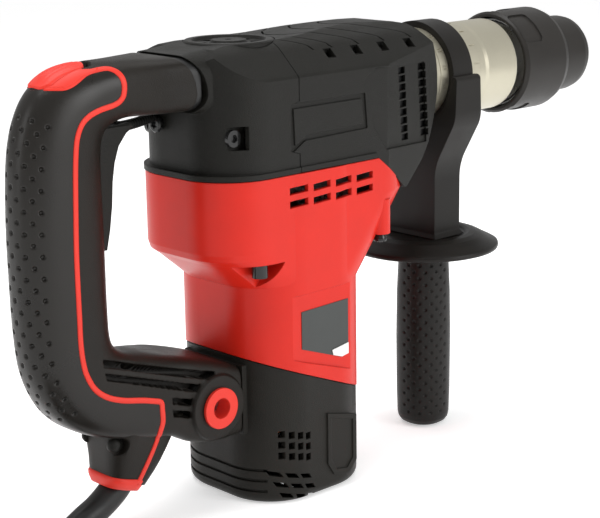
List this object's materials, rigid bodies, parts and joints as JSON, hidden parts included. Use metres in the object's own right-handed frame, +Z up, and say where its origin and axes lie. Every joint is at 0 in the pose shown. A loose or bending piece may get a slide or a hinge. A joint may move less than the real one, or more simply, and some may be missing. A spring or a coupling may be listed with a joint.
{
  "type": "rotary hammer",
  "caption": "Corded rotary hammer with upright motor, long quick-release chuck, anti-vibration D-handle and swivelling side handle, standing on its motor cap.",
  "frame": {"origin": "centre of the flat foot of the motor cap, on the motor axis", "axes": "+X towards the chuck, along the spindle; +Z up, along the motor axis; -Y is the right-hand side"},
  "size_m": [0.5393, 0.1985, 0.275],
  "materials": {
    "red_plastic": "moulded ABS, semi-gloss",
    "black_plastic": "fine mould texture",
    "handle_plastic": "fine mould texture, warm dark grey",
    "soft_grip": "soft overmould with dimples",
    "red_soft": "red elastomer",
    "barrel_metal": "champagne, fine brushed",
    "sleeve_plastic": "satin, slightly rubbery",
    "side_plastic": "fine mould texture",
    "plate": "printed label, blank",
    "steel": "ground",
    "screw_steel": "black oxide",
    "copper": "enamelled windings",
    "laminated_steel": "stacked sheet",
    "cast_alloy": "die cast",
    "carbon": "carbon",
    "brass": "plain",
    "inner_plastic": "moulded",
    "cord_rubber": "rubber sheath"
  },
  "bodies": {
    "housing": {"motor_cap": "black_plastic", "motor_housing": "red_plastic", "gear_cover_rear": "black_plastic", "gear_cover_front": "black_plastic", "grease_cap": "black_plastic", "crankcase": "cast_alloy", "barrel": "barrel_metal", "barrel_bearing": "steel", "cylinder_bearing": "steel", "stator_core": "laminated_steel", "field_coils": "copper", "upper_bearing": "steel", "lower_bearing": "steel", "shaft_bearings": "steel", "brush_holders": "brass", "carbon_brushes": "carbon", "pivot_pin": "steel", "rating_plate": "plate", "cover_screws": "screw_steel", "housing_screws": "screw_steel"},
    "armature": {"armature_core": "laminated_steel", "armature_shaft": "steel", "commutator": "copper", "cooling_fan": "inner_plastic"},
    "crank": {"crank_gear": "steel", "crank_shaft": "steel"},
    "layshaft": {"layshaft_gear": "steel", "bevel_pinion": "steel"},
    "piston_rod": {"piston": "cast_alloy", "wrist_pin": "steel", "connecting_rod": "cast_alloy"},
    "striker": {"striker": "steel"},
    "spindle": {"cylinder": "steel", "bevel_ring": "steel", "spindle": "steel", "lock_collar": "steel", "nose_cap": "sleeve_plastic"},
    "chuck_sleeve": {"chuck_sleeve": "sleeve_plastic", "sleeve_spring": "steel"},
    "side_yoke": {"side_strap": "side_plastic", "side_yoke": "side_plastic"},
    "side_grip": {"guard_disc": "side_plastic", "side_grip": "side_plastic", "grip_bolt": "steel"},
    "handle": {"handle_shell_left": "handle_plastic", "handle_shell_right": "handle_plastic", "handle_pad": "soft_grip", "inlay_left": "red_soft", "inlay_right": "red_soft", "pivot_bushes": "red_soft", "switch_module": "inner_plastic", "bellows": "soft_grip", "cord_boot": "handle_plastic", "cord_guard": "cord_rubber", "cord_tube": "cord_rubber", "cord_coil": "cord_rubber", "plug": "cord_rubber"},
    "trigger": {"trigger": "black_plastic"},
    "lock_slider": {"lock_slider": "red_soft"},
    "mode_selector": {"mode_selector": "black_plastic"}
  },
  "joints": [
    {"name": "armature_spin", "type": "hinge", "parent": "housing", "child": "armature", "pos_m": [0, 0, 0.09], "axis": [0, 0, 1], "continuous": true},
    {"name": "crank_spin", "type": "hinge", "parent": "housing", "child": "crank", "pos_m": [-0.0288, 0, 0.17], "axis": [0, 0, 1], "continuous": true},
    {"name": "layshaft_spin", "type": "hinge", "parent": "housing", "child": "layshaft", "pos_m": [0.03, 0, 0.17], "axis": [0, 0, 1], "continuous": true},
    {"name": "spindle_spin", "type": "hinge", "parent": "housing", "child": "spindle", "pos_m": [0.1, 0, 0.236], "axis": [1, 0, 0], "continuous": true},
    {"name": "piston_slide", "type": "slide", "parent": "housing", "child": "piston_rod", "axis": [1, 0, 0], "range_m": [-0.024, 0]},
    {"name": "striker_slide", "type": "slide", "parent": "spindle", "child": "striker", "axis": [1, 0, 0], "range_m": [0, 0.014]},
    {"name": "sleeve_slide", "type": "slide", "parent": "spindle", "child": "chuck_sleeve", "axis": [-1, 0, 0], "range_m": [0, 0.01], "stiffness_N_per_m": 600, "springref_m": -0.012, "deforming": ["sleeve_spring"]},
    {"name": "side_handle_swing", "type": "hinge", "parent": "housing", "child": "side_yoke", "pos_m": [0.1365, 0, 0.236], "axis": [1, 0, 0], "continuous": true},
    {"name": "side_grip_turn", "type": "hinge", "parent": "side_yoke", "child": "side_grip", "pos_m": [0.1365, 0, 0.1], "axis": [0, 0, 1], "range_deg": [0, 720]},
    {"name": "handle_rock", "type": "hinge", "parent": "housing", "child": "handle", "pos_m": [-0.066, 0, 0.066], "axis": [0, 1, 0], "range_deg": [0, 1.3], "stiffness_Nm_per_rad": 60, "springref_deg": -1.72, "deforming": ["bellows"]},
    {"name": "trigger_pull", "type": "hinge", "parent": "handle", "child": "trigger", "pos_m": [-0.136, 0, 0.23], "axis": [0, 1, 0], "range_deg": [0, 7], "stiffness_Nm_per_rad": 0.6, "springref_deg": -11.46},
    {"name": "lock_slide", "type": "slide", "parent": "handle", "child": "lock_slider", "axis": [0.97, 0, 0.243], "range_m": [0, 0.006]},
    {"name": "mode_turn", "type": "hinge", "parent": "housing", "child": "mode_selector", "pos_m": [0.008, 0.045, 0.226], "axis": [0, 1, 0], "range_deg": [-60, 60]}
  ],
  "couplings": [
    {"joint": "crank_spin", "follows": "armature_spin", "ratio": -0.17073},
    {"joint": "layshaft_spin", "follows": "armature_spin", "ratio": -0.16279},
    {"joint": "spindle_spin", "follows": "armature_spin", "ratio": -0.065116}
  ]
}
